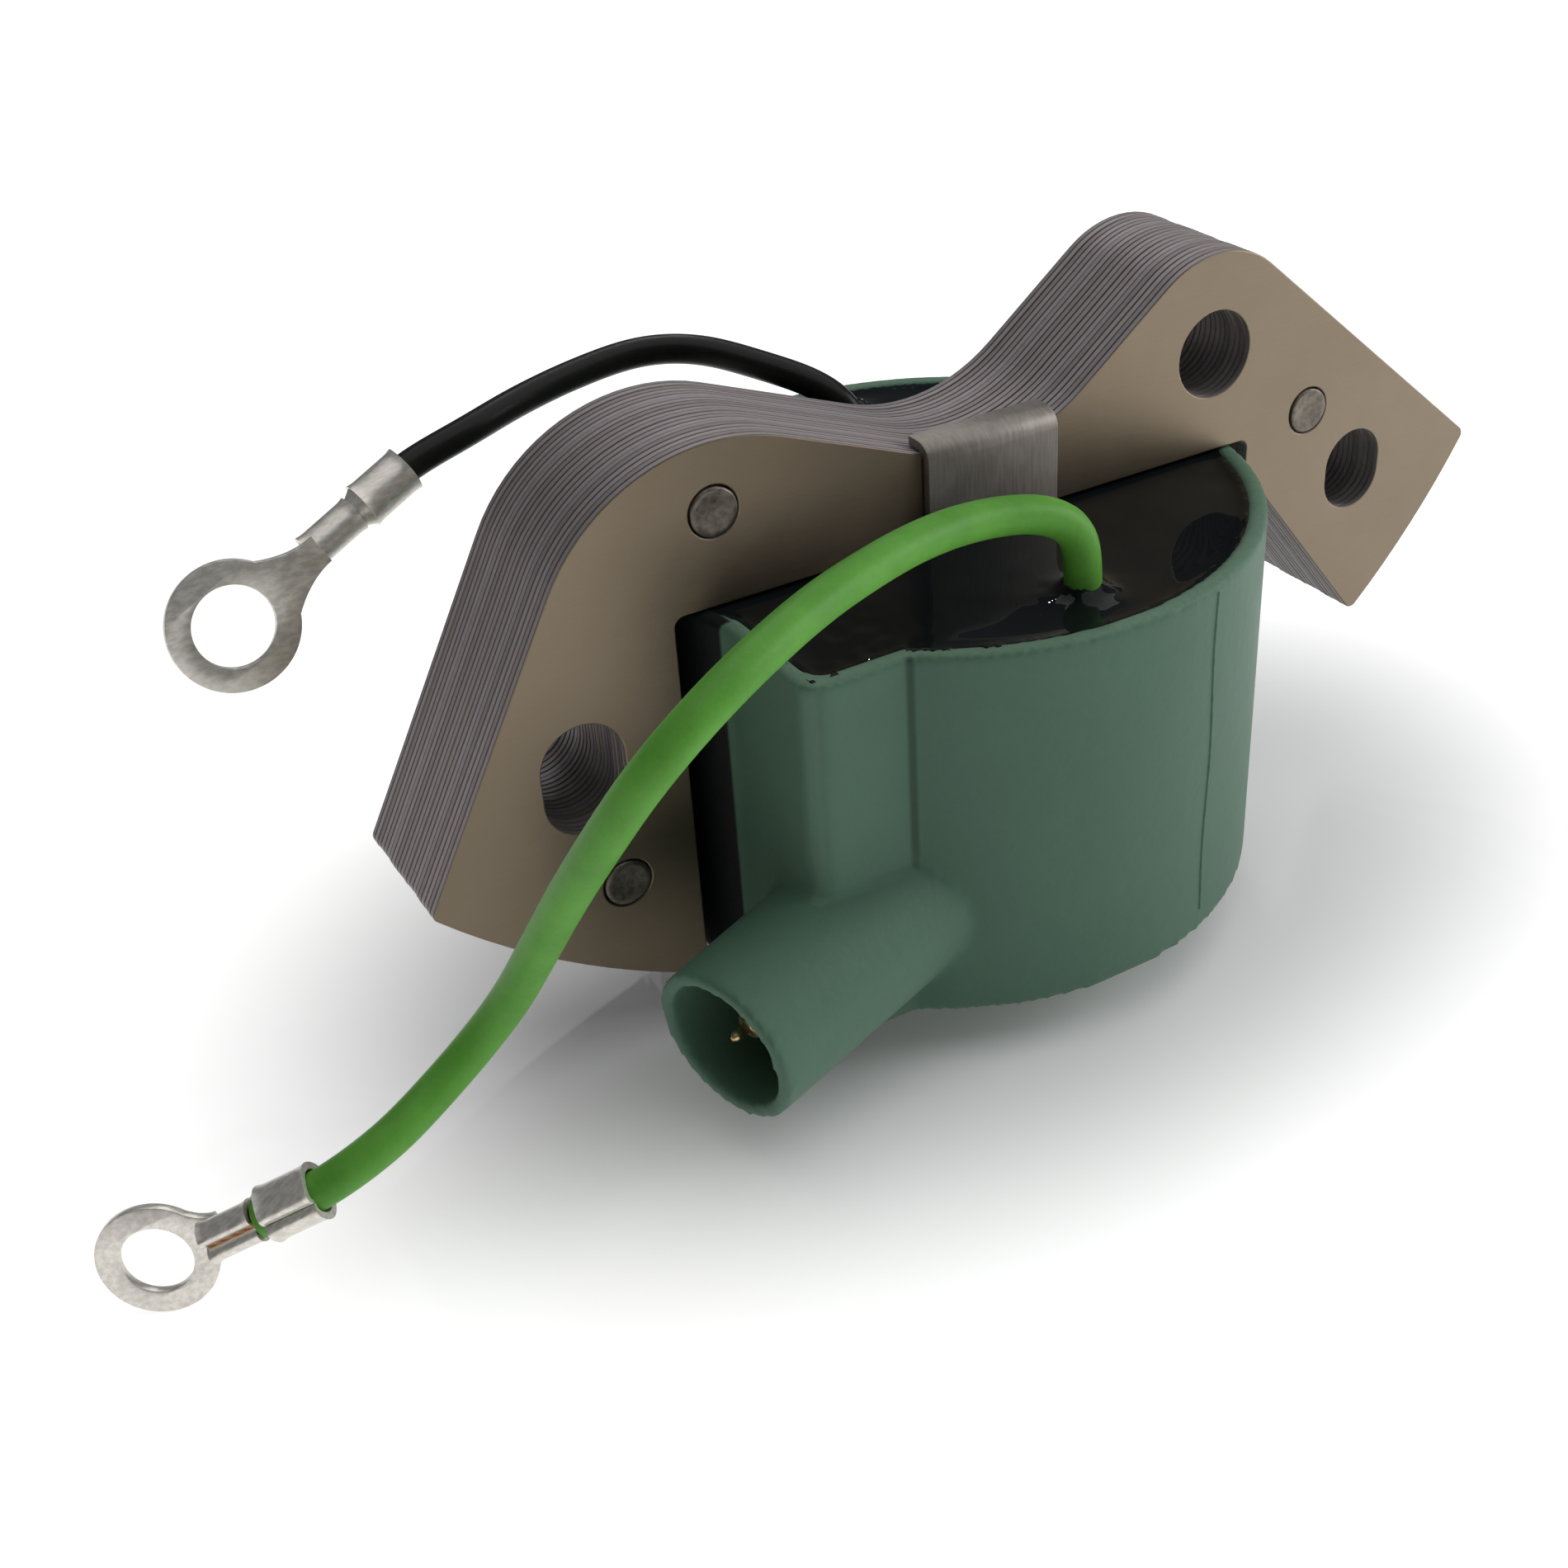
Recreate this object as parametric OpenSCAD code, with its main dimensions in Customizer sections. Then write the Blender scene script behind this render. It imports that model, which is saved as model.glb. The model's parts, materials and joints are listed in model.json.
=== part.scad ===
// Ignition coil: a laminated three-legged core whose centre leg runs through a
// moulded coil case, with a high-tension tower and two short ring-terminal leads.
// Millimetres. +X runs along the core, +Y to the rear, +Z up, base at Z = 0.

/* [Core stack] */
// number of steel laminations in the stack
lam_count = 21; // [18:1:24]
// thickness of one lamination
lam_thick = 0.6; // [0.5:0.01:0.65]
// radius of the curved pole faces
pole_radius = 63.6; // [62.5:0.1:65]
// sideways position of the pole circle, from the case axis
pole_shift = -2.5; // [-3:0.1:-2]
// left side of the winding window, from the case axis
window_left = 26.6; // [26.4:0.1:27]
// right side of the winding window, from the case axis
window_right = 26.4; // [26.4:0.1:27]
// height of the top of the winding window
window_top = 36.7; // [36.6:0.1:37]
// width of the centre leg
leg_width = 12.8; // [12:0.1:13]
// radius of the left upper lobe
left_lobe_r = 15.3; // [14.8:0.1:15.6]
// radius of the right upper lobe, round the main bore
right_lobe_r = 8.3; // [8:0.1:8.6]
// radius of the valley between the lobes
valley_r = 14; // [12:0.5:16]

/* [Fixings] */
// diameter of the round mounting bore
bore_d = 7.1; // [6.6:0.1:7.4]
// width of the oval hole
oval_width = 5.9; // [5.5:0.1:6.4]
// length of the oval hole
oval_length = 7.1; // [6.6:0.1:7.4]
// width of the long adjusting slot
slot_width = 6.6; // [6.2:0.1:7]
// length of the long adjusting slot
slot_length = 9; // [8:0.1:10]
// diameter of the three rivets
rivet_d = 4; // [3.6:0.1:4.4]

/* [Coil case] */
// outside radius of the case
case_r = 25.7; // [25.4:0.1:25.8]
// wall thickness of the case
case_wall = 1.5; // [1.3:0.1:1.8]
// height of the underside of the case
case_bottom = 5.4; // [5:0.1:6]
// height of the rim of the case
case_rim = 36.5; // [36:0.1:36.6]
// level of the potting compound
potting_top = 36.1; // [35.5:0.1:36.2]

/* [High-tension tower] */
// outside radius of the tower at its mouth
tower_r = 6.2; // [6:0.1:6.4]
// radius of the socket in the tower
socket_r = 5.1; // [4.8:0.1:5.2]
// depth of the socket
socket_depth = 16; // [14:0.5:16.5]
// turn of the tower axis away from the core's length, degrees
tower_turn = 17.5; // [16:0.5:19]
// rise of the tower axis toward the case, degrees
tower_rise = 6; // [5:0.5:7]

/* [Retaining clip] */
// width of the clip
clip_width = 11.8; // [11:0.1:12.4]
// sheet thickness of the clip
clip_sheet = 0.8; // [0.7:0.05:0.9]

/* [Leads] */
// outside diameter of the green lead
green_d = 2.8; // [2.6:0.1:3]
// outside diameter of the black lead
black_d = 2.6; // [2.4:0.1:2.8]
// diameter of the copper strands inside a lead
strand_d = 1.5; // [1.3:0.1:1.6]
// hole in the small ring terminal
small_ring_hole = 5; // [4.8:0.1:5.2]
// hole in the large ring terminal
large_ring_hole = 6.7; // [6.4:0.1:6.9]

/* [Hidden] */
stack = lam_count * lam_thick;
front = -stack / 2;
pole_c = [pole_shift, pole_radius];
left_lobe = [-22.5, 34.1];
main_bore = [22.4, 45];
oval_at = [38.6, 30.8];
slot_at = [-34.9, 26.2];
rivets = [[-22.8, 44.1], [-32.6, 16.1], [32.9, 37.6]];
left_slope = 61.7;
fall_slope = -21.2;
rise_slope = 37.6;
outer_slope = -40.2;
inner_slope = -51.9;
inner_start = [window_right, 33.9];
corner_r = 0.8;
// winding pack
pack_low = 8.2;
pack_high = 28.8;
sleeve_gap = 0.15;
sleeve_wall = 0.9;
flange = 1.2;
primary_in = 11.6;
primary_out = 14.8;
paper = 0.6;
secondary_in = 16.4;
secondary_out = 20;
tape = 0.4;
sections = 5;
pack_out = secondary_out + tape;
sleeve_top = pack_high + 0.8;
tail_r = 0.45;
jumper_r = 0.5;
floor_top = case_bottom + 1.6;
// tower, mouth centre and axis
mouth = [-33.6, -22.4, 11.7];
tower_len = 20;
spike_core = 0.8;
spike_crest = 1.1;
spike_tip = 2;
spike_end = 21;
// pocket block that carries the tower
pocket_x = -24;
pocket_y = -20.3;
// leads, start faces inside the potting
green_root = [0, -19, 32.5];
black_root = [4, 19.5, 32.5];
side_count = 8;
// small and large terminals: ring centre, turn, rise, roll
small_at = [-72.4, -11.9, 4.3];
small_turn = [78, -23, -23];
large_at = [-50.6, 25, 30];
large_turn = [-105, -25.3, 7];
axis_lift = 1.3;
ring_sheet = 0.8;
strand_hole = strand_d / 2 + 0.03;
green_route = [
  green_root, [0, -19, 37.5], [-0.6, -18.9, 41.3], [-3.9, -18.6, 43.3],
  [-9.2, -18.9, 44.4], [-15, -20.6, 45.2], [-21, -23.3, 45.8], [-26.6, -26.4, 46.3],
  [-31.5, -29.1, 46.2], [-35.6, -30.8, 45.3], [-38.8, -31.2, 43.4], [-41.1, -30.4, 40.6],
  [-42.8, -28.3, 36.5], [-44.1, -24.8, 31], [-45.3, -20.9, 24.7], [-47, -18.1, 19.2],
  [-49.7, -17, 15.6], [-53.2, -17.4, 13.4], [-57, -18.4, 12]
];
black_route = [
  black_root, [4, 19.5, 36], [2.2, 21.2, 38.3], [-1.5, 25, 40],
  [-6, 29, 41.4], [-10.5, 31, 41.6], [-16, 31.3, 41], [-22, 30.5, 40.2],
  [-28, 28.8, 39.3]
];

function unit2(a) = [cos(a), sin(a)];
function lerp(a, b, t) = a + (b - a) * t;
// where a line from p along d leaves the pole circle
function on_pole(p, d) =
  let (q = p - pole_c, b = q * d, c = q * q - pole_radius * pole_radius)
  p + d * (-b + sqrt(b * b - c));
// where two lines cross
function cross2(p, a, q, b) =
  let (d = unit2(a), e = unit2(b), w = q - p)
  p + d * ((w[0] * e[1] - w[1] * e[0]) / (d[0] * e[1] - d[1] * e[0]));

left_touch = left_lobe + left_lobe_r * unit2(left_slope + 90);
fall_touch = left_lobe + left_lobe_r * unit2(fall_slope + 90);
rise_touch = main_bore + right_lobe_r * unit2(rise_slope + 90);
outer_touch = main_bore + right_lobe_r * unit2(outer_slope + 90);
valley = cross2(fall_touch, fall_slope, rise_touch, rise_slope);
left_apex = cross2(left_touch, left_slope, fall_touch, fall_slope);
right_apex = cross2(rise_touch, rise_slope, outer_touch, outer_slope);
valley_half = (180 - rise_slope + fall_slope) / 2;
valley_reach = valley_r / tan(valley_half);
valley_up = (rise_slope + 180 + fall_slope) / 2;
left_corner = on_pole(left_touch, -unit2(left_slope));
right_corner = on_pole(outer_touch, unit2(outer_slope));
inner_corner = on_pole(inner_start, unit2(inner_slope));
tower_dir = [
  cos(tower_rise) * cos(tower_turn),
  cos(tower_rise) * sin(tower_turn),
  sin(tower_rise)
];
mid_x = (left_corner[0] + right_corner[0]) / 2;
mid_y = (case_r + mouth[1] - tower_r * cos(tower_turn)) / 2;

// ---------- helpers ----------

module placed() {
  translate([-mid_x, -mid_y, 0]) children();
}

// flat shape drawn in X and Z, given a thickness from y0 toward the rear
module upright(y0, t) {
  translate([0, y0 + t, 0]) rotate([90, 0, 0]) linear_extrude(t) children();
}

// upright bar of circular section along +X of a local frame
module rod(r, x0, x1) {
  translate([x0, 0, 0]) rotate([0, 90, 0]) cylinder(h = x1 - x0, r = r, $fn = 48);
}

// removes the sharp tip at v between directions a and b
module blunt(v, a, b, r) {
  half = abs(a - b) / 2;
  mid = (a + b) / 2;
  reach = r / tan(half);
  difference() {
    polygon([
      v - 0.5 * unit2(mid), v + reach * unit2(a), v + reach * unit2(b)
    ]);
    translate(v + r / sin(half) * unit2(mid)) circle(r = r, $fn = 48);
  }
}

module oblong(w, l) {
  for (s = [-1, 1]) translate([0, s * (l - w) / 2]) circle(d = w, $fn = 64);
  square([w, l - w], center = true);
}

module in_tower() {
  translate(mouth) rotate([0, -tower_rise, tower_turn]) children();
}

// ---------- core ----------

module plate_holes() {
  translate(main_bore) circle(d = bore_d, $fn = 96);
  translate(oval_at) oblong(oval_width, oval_length);
  translate(slot_at) oblong(slot_width, slot_length);
  for (p = rivets) translate(p) circle(d = rivet_d, $fn = 64);
}

module plate_windows() {
  difference() {
    translate([-window_left, -5]) square([window_left - leg_width / 2, window_top + 5]);
    blunt_window(-window_left, 1);
  }
  difference() {
    polygon([
      [leg_width / 2, -5], [leg_width / 2, window_top], [window_right, window_top],
      inner_start, inner_start + 45 * unit2(inner_slope), [52, -5]
    ]);
    blunt_window(window_right, -1);
  }
}

module blunt_window(x, s) {
  translate([x + s * corner_r, window_top - corner_r]) difference() {
    translate([s > 0 ? -corner_r - 1 : 0, 0]) square(corner_r + 1);
    circle(r = corner_r, $fn = 48);
  }
}

// straight-sided plate, before its lobes are rounded
module plate_body() {
  difference() {
    polygon([
      left_apex - 60 * unit2(left_slope), left_apex,
      valley - valley_reach * unit2(fall_slope), valley + valley_reach * unit2(rise_slope),
      right_apex, right_apex + 60 * unit2(outer_slope), [66, -9], [-66, -9]
    ]);
    translate(valley + valley_r / sin(valley_half) * unit2(valley_up)) {
      circle(r = valley_r, $fn = 160);
    }
    blunt(left_apex, left_slope - 180, fall_slope, left_lobe_r);
    blunt(right_apex, rise_slope - 180, outer_slope, right_lobe_r);
  }
}

module plate_outline() {
  difference() {
    intersection() {
      plate_body();
      translate(pole_c) circle(r = pole_radius, $fn = 360);
    }
    plate_windows();
    plate_holes();
    plate_corners();
  }
}

// direction of the pole face at a point, turning left round the circle
function pole_turn(p) = atan2(p[1] - pole_c[1], p[0] - pole_c[0]) + 90;

module plate_corners() {
  blunt(left_corner, left_slope, pole_turn(left_corner), corner_r);
  blunt(inner_corner, pole_turn(inner_corner), inner_slope + 180, corner_r);
  blunt(right_corner, outer_slope + 180, pole_turn(right_corner) + 180, corner_r);
}

module lamination(i) {
  color([0.52, 0.48, 0.44]) placed() upright(front + i * lam_thick, lam_thick) plate_outline();
}

module rivet(p) {
  color([0.56, 0.53, 0.49]) placed() upright(front, stack) translate(p) {
    circle(d = rivet_d, $fn = 64);
  }
}

// ---------- coil case ----------

module case_plan(inset) {
  circle(r = case_r - inset, $fn = 180);
  difference() {
    translate([pocket_x + inset, pocket_y + inset]) square([12, 18]);
    translate([pocket_x + inset, pocket_y + inset]) square(1.6);
  }
  translate([pocket_x + inset + 1.6, pocket_y + inset + 1.6]) circle(r = 1.6, $fn = 48);
}

module leg_plan(grow) {
  square([leg_width + 2 * grow, stack + 2 * grow], center = true);
}

module tall(z0, z1) {
  translate([0, 0, z0]) linear_extrude(z1 - z0) children();
}

// tower with the winding pack's room kept clear
module tower_block() {
  difference() {
    in_tower() rotate([0, 90, 0]) cylinder(h = tower_len, r1 = tower_r, r2 = tower_r + 0.3, $fn = 120);
    tall(case_bottom - 2, case_rim) circle(r = pack_out + 0.5, $fn = 120);
  }
}

module coil_case() {
  color([0.30, 0.46, 0.37]) placed() difference() {
    union() {
      difference() {
        tall(case_bottom, case_rim) case_plan(0);
        tall(floor_top, case_rim + 1) case_plan(case_wall);
      }
      tall(case_bottom, sleeve_top) leg_plan(sleeve_gap + sleeve_wall);
      tower_block();
    }
    tall(0, 60) leg_plan(sleeve_gap);
    in_tower() rod(socket_r, -1, socket_depth);
    in_tower() rod(spike_core, socket_depth - 1, tower_len + 4);
  }
}

module potting_compound() {
  color([0.04, 0.045, 0.045]) placed() difference() {
    tall(floor_top, potting_top) case_plan(case_wall);
    tall(0, sleeve_top) leg_plan(sleeve_gap + sleeve_wall);
    tall(sleeve_top - 1, 60) leg_plan(0);
    tall(pack_low, pack_high) circle(r = pack_out, $fn = 120);
    tower_block();
    in_tower() rod(spike_core, socket_depth - 1, spike_end);
    jumper_shape();
    clip_shape();
    lead_room(green_root, green_d / 2);
    lead_room(black_root, black_d / 2);
  }
}

// ---------- retaining clip ----------

// side view of the clip, drawn in Y and Z
module clip_profile() {
  y0 = front - 0.15 - clip_sheet;
  top = 43.9 + clip_sheet;
  bend = 1;
  translate([y0, 30.5]) square([clip_sheet, top - bend - 30.5]);
  translate([y0 + bend, 43.9]) square([2.8 - bend, clip_sheet]);
  translate([y0 - 1.8, 30.5]) square([1.9, clip_sheet]);
  intersection() {
    translate([y0, top - bend]) square(bend);
    translate([y0 + bend, top - bend]) difference() {
      circle(r = bend, $fn = 48);
      circle(r = bend - clip_sheet, $fn = 48);
    }
  }
}

module clip_shape() {
  translate([0.5 - clip_width / 2, 0, 0]) rotate([90, 0, 90]) linear_extrude(clip_width) {
    clip_profile();
  }
}

module retaining_clip() {
  color([0.60, 0.59, 0.57]) placed() clip_shape();
}

// ---------- windings ----------

module ring(r0, r1, z0, z1) {
  tall(z0, z1) difference() {
    circle(r = r1, $fn = 120);
    circle(r = r0, $fn = 120);
  }
}

module primary_bobbin() {
  color([0.86, 0.82, 0.70]) placed() difference() {
    union() {
      tall(pack_low, pack_high) circle(r = primary_in, $fn = 120);
      ring(primary_in - 1, primary_out, pack_low, pack_low + flange);
      ring(primary_in - 1, primary_out, pack_high - flange, pack_high);
    }
    tall(0, 60) leg_plan(sleeve_gap + sleeve_wall);
    tail_shape(green_root);
    tail_shape(black_root);
  }
}

module primary_winding() {
  color([0.72, 0.42, 0.20]) placed() {
    ring(primary_in, primary_out, pack_low + flange, pack_high - flange);
  }
}

module insulating_paper() {
  color([0.80, 0.70, 0.48]) placed() {
    ring(primary_out, primary_out + paper, pack_low, pack_high);
  }
}

function section_z(i) = lerp(pack_low, pack_high - flange, i / sections);

module secondary_bobbin() {
  color([0.90, 0.88, 0.80]) placed() difference() {
    union() {
      ring(primary_out + paper, secondary_in, pack_low, pack_high);
      for (i = [0:sections]) {
        ring(secondary_in - 0.5, secondary_out, section_z(i), section_z(i) + flange);
      }
    }
    jumper_shape();
  }
}

module secondary_winding() {
  color([0.55, 0.28, 0.14]) placed() for (i = [0:sections - 1]) {
    ring(secondary_in, secondary_out, section_z(i) + flange, section_z(i + 1));
  }
}

module winding_tape() {
  color([0.85, 0.76, 0.30]) placed() ring(secondary_out, pack_out, pack_low, pack_high);
}

// ---------- high tension ----------

// the wire from the last secondary section to the spike
module jumper_shape() {
  top = pack_high + jumper_r + 0.4;
  root = mouth + tower_dir * (spike_end - 1);
  translate(root) cylinder(h = top - root[2], r = jumper_r, $fn = 32);
  run = norm([root[0], root[1]]) - 18.2;
  turn = atan2(root[1], root[0]);
  translate([root[0], root[1], top]) {
    rotate([0, 0, turn + 180]) rod(jumper_r, -jumper_r, run + jumper_r);
  }
  translate([18.2 * cos(turn), 18.2 * sin(turn), pack_high - flange]) {
    cylinder(h = top - pack_high + flange, r = jumper_r, $fn = 32);
  }
}

module high_tension_jumper() {
  color([0.75, 0.45, 0.22]) placed() difference() {
    jumper_shape();
    in_tower() rod(spike_core, 0, spike_end);
  }
}

// threaded contact point that stands in the socket
module high_tension_spike() {
  n = 12;
  pitch = (socket_depth - spike_tip - 1) / n;
  color([0.78, 0.60, 0.32]) placed() in_tower() rotate([0, 90, 0]) rotate_extrude($fn = 48) {
    polygon(concat(
      [[0, spike_end], [spike_core, spike_end], [spike_core, socket_depth]],
      [for (i = [n:-1:1], k = [0.5, 0])
        [k > 0 ? spike_crest : spike_core, spike_tip + 1 + pitch * (i - 1 + k)]],
      [[0, spike_tip]]
    ));
  }
}

// ---------- leads ----------

function turned(p, r) =
  let (
    a = [p[0], p[1] * cos(r[0]) - p[2] * sin(r[0]), p[1] * sin(r[0]) + p[2] * cos(r[0])],
    b = [a[0] * cos(r[1]) + a[2] * sin(r[1]), a[1], -a[0] * sin(r[1]) + a[2] * cos(r[1])]
  )
  [b[0] * cos(r[2]) - b[1] * sin(r[2]), b[0] * sin(r[2]) + b[1] * cos(r[2]), b[2]];

function grip_point(at, r, x) = at + turned([x, 0, axis_lift], r);
function unit3(v) = v / norm(v);
function tangent(path, i) =
  unit3(path[min(i + 1, len(path) - 1)] - path[max(i - 1, 0)]);

// ring of points round a route point, square to the route
function hoop(path, i, r) =
  let (
    t = i <= 1 ? [0, 0, 1] : tangent(path, i),
    u = unit3(cross([0, 1, 0], t)),
    v = cross(t, u)
  )
  [for (k = [0:side_count - 1]) path[i] + r * (u * cos(45 * k) + v * sin(45 * k))];

function skin(n, off, flip) = [
  for (i = [0:n - 2], k = [0:side_count - 1])
    let (
      a = off + i * side_count + k,
      b = off + i * side_count + (k + 1) % side_count,
      c = b + side_count,
      d = a + side_count
    )
    each (flip ? [[a, b, c], [a, c, d]] : [[c, b, a], [d, c, a]])
];

function end_ring(a, b) = [
  for (k = [0:side_count - 1]) let (m = (k + 1) % side_count)
    each [[a + k, a + m, b + m], [a + k, b + m, b + k]]
];

// solid cord along a route
module cord(path, r) {
  n = len(path);
  polyhedron(
    points = [for (i = [0:n - 1]) each hoop(path, i, r)],
    faces = concat(
      skin(n, 0, false),
      [[for (k = [0:side_count - 1]) k]],
      [[for (k = [side_count - 1:-1:0]) (n - 1) * side_count + k]]
    )
  );
}

// hollow cord along a route
module sleeve_cord(path, r, bore) {
  n = len(path);
  m = n * side_count;
  polyhedron(
    points = concat(
      [for (i = [0:n - 1]) each hoop(path, i, r)],
      [for (i = [0:n - 1]) each hoop(path, i, bore)]
    ),
    faces = concat(
      skin(n, 0, false), skin(n, m, true), end_ring(0, m),
      [for (f = end_ring((n - 1) * side_count, m + (n - 1) * side_count))
        [f[2], f[1], f[0]]]
    )
  );
}

green_path = concat(green_route, [
  grip_point(small_at, small_turn, 13.2), grip_point(small_at, small_turn, 8.5)
]);
black_path = concat(black_route, [
  grip_point(large_at, large_turn, 19.2), grip_point(large_at, large_turn, 14.6)
]);
function strand_path(path, at, r, x) = concat(
  [path[0] - [0, 0, 2]],
  [for (i = [1:len(path) - 1]) path[i]],
  [grip_point(at, r, x)]
);

module green_lead_insulation() {
  color([0.32, 0.62, 0.26]) placed() sleeve_cord(green_path, green_d / 2, strand_hole);
}

module black_lead_insulation() {
  color([0.10, 0.10, 0.10]) placed() sleeve_cord(black_path, black_d / 2, strand_hole);
}

module green_lead_strands() {
  color([0.74, 0.46, 0.28]) placed() {
    cord(strand_path(green_path, small_at, small_turn, 4.6), strand_d / 2);
  }
}

module black_lead_strands() {
  color([0.74, 0.46, 0.28]) placed() {
    cord(strand_path(black_path, large_at, large_turn, 8.8), strand_d / 2);
  }
}

// magnet-wire tail from a splice down to the primary winding
module tail_shape(root) {
  reach = norm([root[0], root[1]]) - 13.2;
  turn = atan2(root[1], root[0]);
  translate([root[0], root[1], root[2] - 2.7]) rotate([0, 0, turn + 180]) {
    rod(tail_r, 0.8, reach);
    translate([reach, 0, pack_high - flange - root[2] + 2.7]) {
      cylinder(h = root[2] - 2.7 + tail_r - pack_high + flange, r = tail_r, $fn = 32);
    }
  }
}

module splice_body(root) {
  translate([root[0], root[1], root[2] - 3.2]) cylinder(h = 3.2, r = 1.5, $fn = 48);
}

module splice(root) {
  difference() {
    splice_body(root);
    translate([root[0], root[1], root[2] - 2]) {
      cylinder(h = 3, r = strand_d / 2, $fn = side_count);
    }
    tail_shape(root);
  }
}

// everything of one lead that sits inside the potting
module lead_room(root, r) {
  translate(root) cylinder(h = 6, r = r, $fn = side_count);
  splice_body(root);
  tail_shape(root);
}

module green_lead_splice() {
  color([0.72, 0.68, 0.60]) placed() splice(green_root);
}

module black_lead_splice() {
  color([0.72, 0.68, 0.60]) placed() splice(black_root);
}

module primary_start_tail() {
  color([0.72, 0.42, 0.20]) placed() tail_shape(black_root);
}

module primary_finish_tail() {
  color([0.72, 0.42, 0.20]) placed() tail_shape(green_root);
}

// ---------- ring terminals ----------

// flat ring, tongue and two crimped barrels along +X, seam on top
module terminal(hole, rim, b0, b1, g0, g1, wire_r) {
  barrel = strand_d / 2 + 0.7;
  grip = wire_r + 0.55;
  difference() {
    union() {
      translate([0, 0, -ring_sheet / 2]) linear_extrude(ring_sheet) {
        difference() {
          union() {
            circle(r = rim, $fn = 96);
            polygon([
              [rim * 0.5, rim * 0.86], [rim * 1.02, rim * 0.42], [b0 + 0.6, barrel * 0.8],
              [b0 + 0.6, -barrel * 0.8], [rim * 1.02, -rim * 0.42], [rim * 0.5, -rim * 0.86]
            ]);
          }
          circle(d = hole, $fn = 96);
        }
      }
      translate([0, 0, axis_lift]) rod(barrel, b0, b1);
      translate([0, 0, axis_lift]) rod(grip, g0, g1);
      translate([b1 - 0.5, -1.1, axis_lift - barrel]) cube([g0 - b1 + 1, 2.2, 0.6]);
    }
    translate([0, 0, axis_lift]) rotate([0, 90, 0]) {
      translate([0, 0, b0 + 0.2]) cylinder(h = g0, r = strand_d / 2, $fn = 48);
      translate([0, 0, g0 + 0.3]) cylinder(h = g1, r = wire_r, $fn = 48);
    }
    translate([b0 - 1, -0.15, axis_lift + strand_d / 2 - 0.1]) cube([g1 - b0 + 2, 0.3, 3]);
  }
}

module small_ring_terminal() {
  color([0.75, 0.71, 0.66]) placed() translate(small_at) rotate(small_turn) {
    terminal(small_ring_hole, 4.2, 4.4, 8.2, 9.2, 13, green_d / 2);
  }
}

module large_ring_terminal() {
  color([0.75, 0.71, 0.66]) placed() translate(large_at) rotate(large_turn) {
    terminal(large_ring_hole, 5.4, 8.4, 13.4, 14.3, 19, black_d / 2);
  }
}

// ---------- nodes ----------

lamination(0);  // lamination_01
lamination(1);  // lamination_02
lamination(2);  // lamination_03
lamination(3);  // lamination_04
lamination(4);  // lamination_05
lamination(5);  // lamination_06
lamination(6);  // lamination_07
lamination(7);  // lamination_08
lamination(8);  // lamination_09
lamination(9);  // lamination_10
lamination(10);  // lamination_11
lamination(11);  // lamination_12
lamination(12);  // lamination_13
lamination(13);  // lamination_14
lamination(14);  // lamination_15
lamination(15);  // lamination_16
lamination(16);  // lamination_17
lamination(17);  // lamination_18
lamination(18);  // lamination_19
lamination(19);  // lamination_20
lamination(20);  // lamination_21
rivet(rivets[0]);  // upper_left_rivet
rivet(rivets[1]);  // lower_left_rivet
rivet(rivets[2]);  // right_rivet
coil_case();
potting_compound();
retaining_clip();
primary_bobbin();
primary_winding();
insulating_paper();
secondary_bobbin();
secondary_winding();
winding_tape();
high_tension_jumper();
high_tension_spike();
green_lead_insulation();
green_lead_strands();
green_lead_splice();
small_ring_terminal();
black_lead_insulation();
black_lead_strands();
black_lead_splice();
large_ring_terminal();
primary_start_tail();
primary_finish_tail();
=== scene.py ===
import json
import math
import random

import bmesh
import bpy
from bpy.props import FloatProperty, IntProperty, PointerProperty
from mathutils import Matrix, Vector, noise
from mathutils.geometry import tessellate_polygon


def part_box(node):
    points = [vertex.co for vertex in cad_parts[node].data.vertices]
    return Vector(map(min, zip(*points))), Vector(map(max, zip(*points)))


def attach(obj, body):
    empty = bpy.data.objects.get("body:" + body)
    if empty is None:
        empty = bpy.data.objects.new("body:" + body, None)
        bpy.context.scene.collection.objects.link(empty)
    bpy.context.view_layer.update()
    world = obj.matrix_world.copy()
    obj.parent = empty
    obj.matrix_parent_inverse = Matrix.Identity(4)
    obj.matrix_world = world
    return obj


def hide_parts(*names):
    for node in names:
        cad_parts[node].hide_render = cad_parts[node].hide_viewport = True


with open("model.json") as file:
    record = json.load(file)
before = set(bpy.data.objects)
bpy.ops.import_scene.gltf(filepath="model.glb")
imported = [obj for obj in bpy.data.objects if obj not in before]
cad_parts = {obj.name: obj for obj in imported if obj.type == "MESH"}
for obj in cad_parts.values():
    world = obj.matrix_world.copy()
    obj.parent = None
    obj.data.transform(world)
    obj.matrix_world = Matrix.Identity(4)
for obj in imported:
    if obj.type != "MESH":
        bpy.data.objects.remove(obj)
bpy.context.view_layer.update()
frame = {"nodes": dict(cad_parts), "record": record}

bl_info = {
    "name": "Ignition Coil Builder",
    "version": (1, 0, 0),
    "blender": (4, 5, 0),
    "location": "3D View > Sidebar > Ignition Coil",
    "description": "Builds the visible pieces of an ignition coil over its packed frame",
    "category": "Object",
}

NODES = frame["nodes"]
MM = 0.001
# the design's own origin is the case axis, the row's is the middle of the footprint
SHIFT = Vector((2.0329, -1.3065, 0.0))

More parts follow.
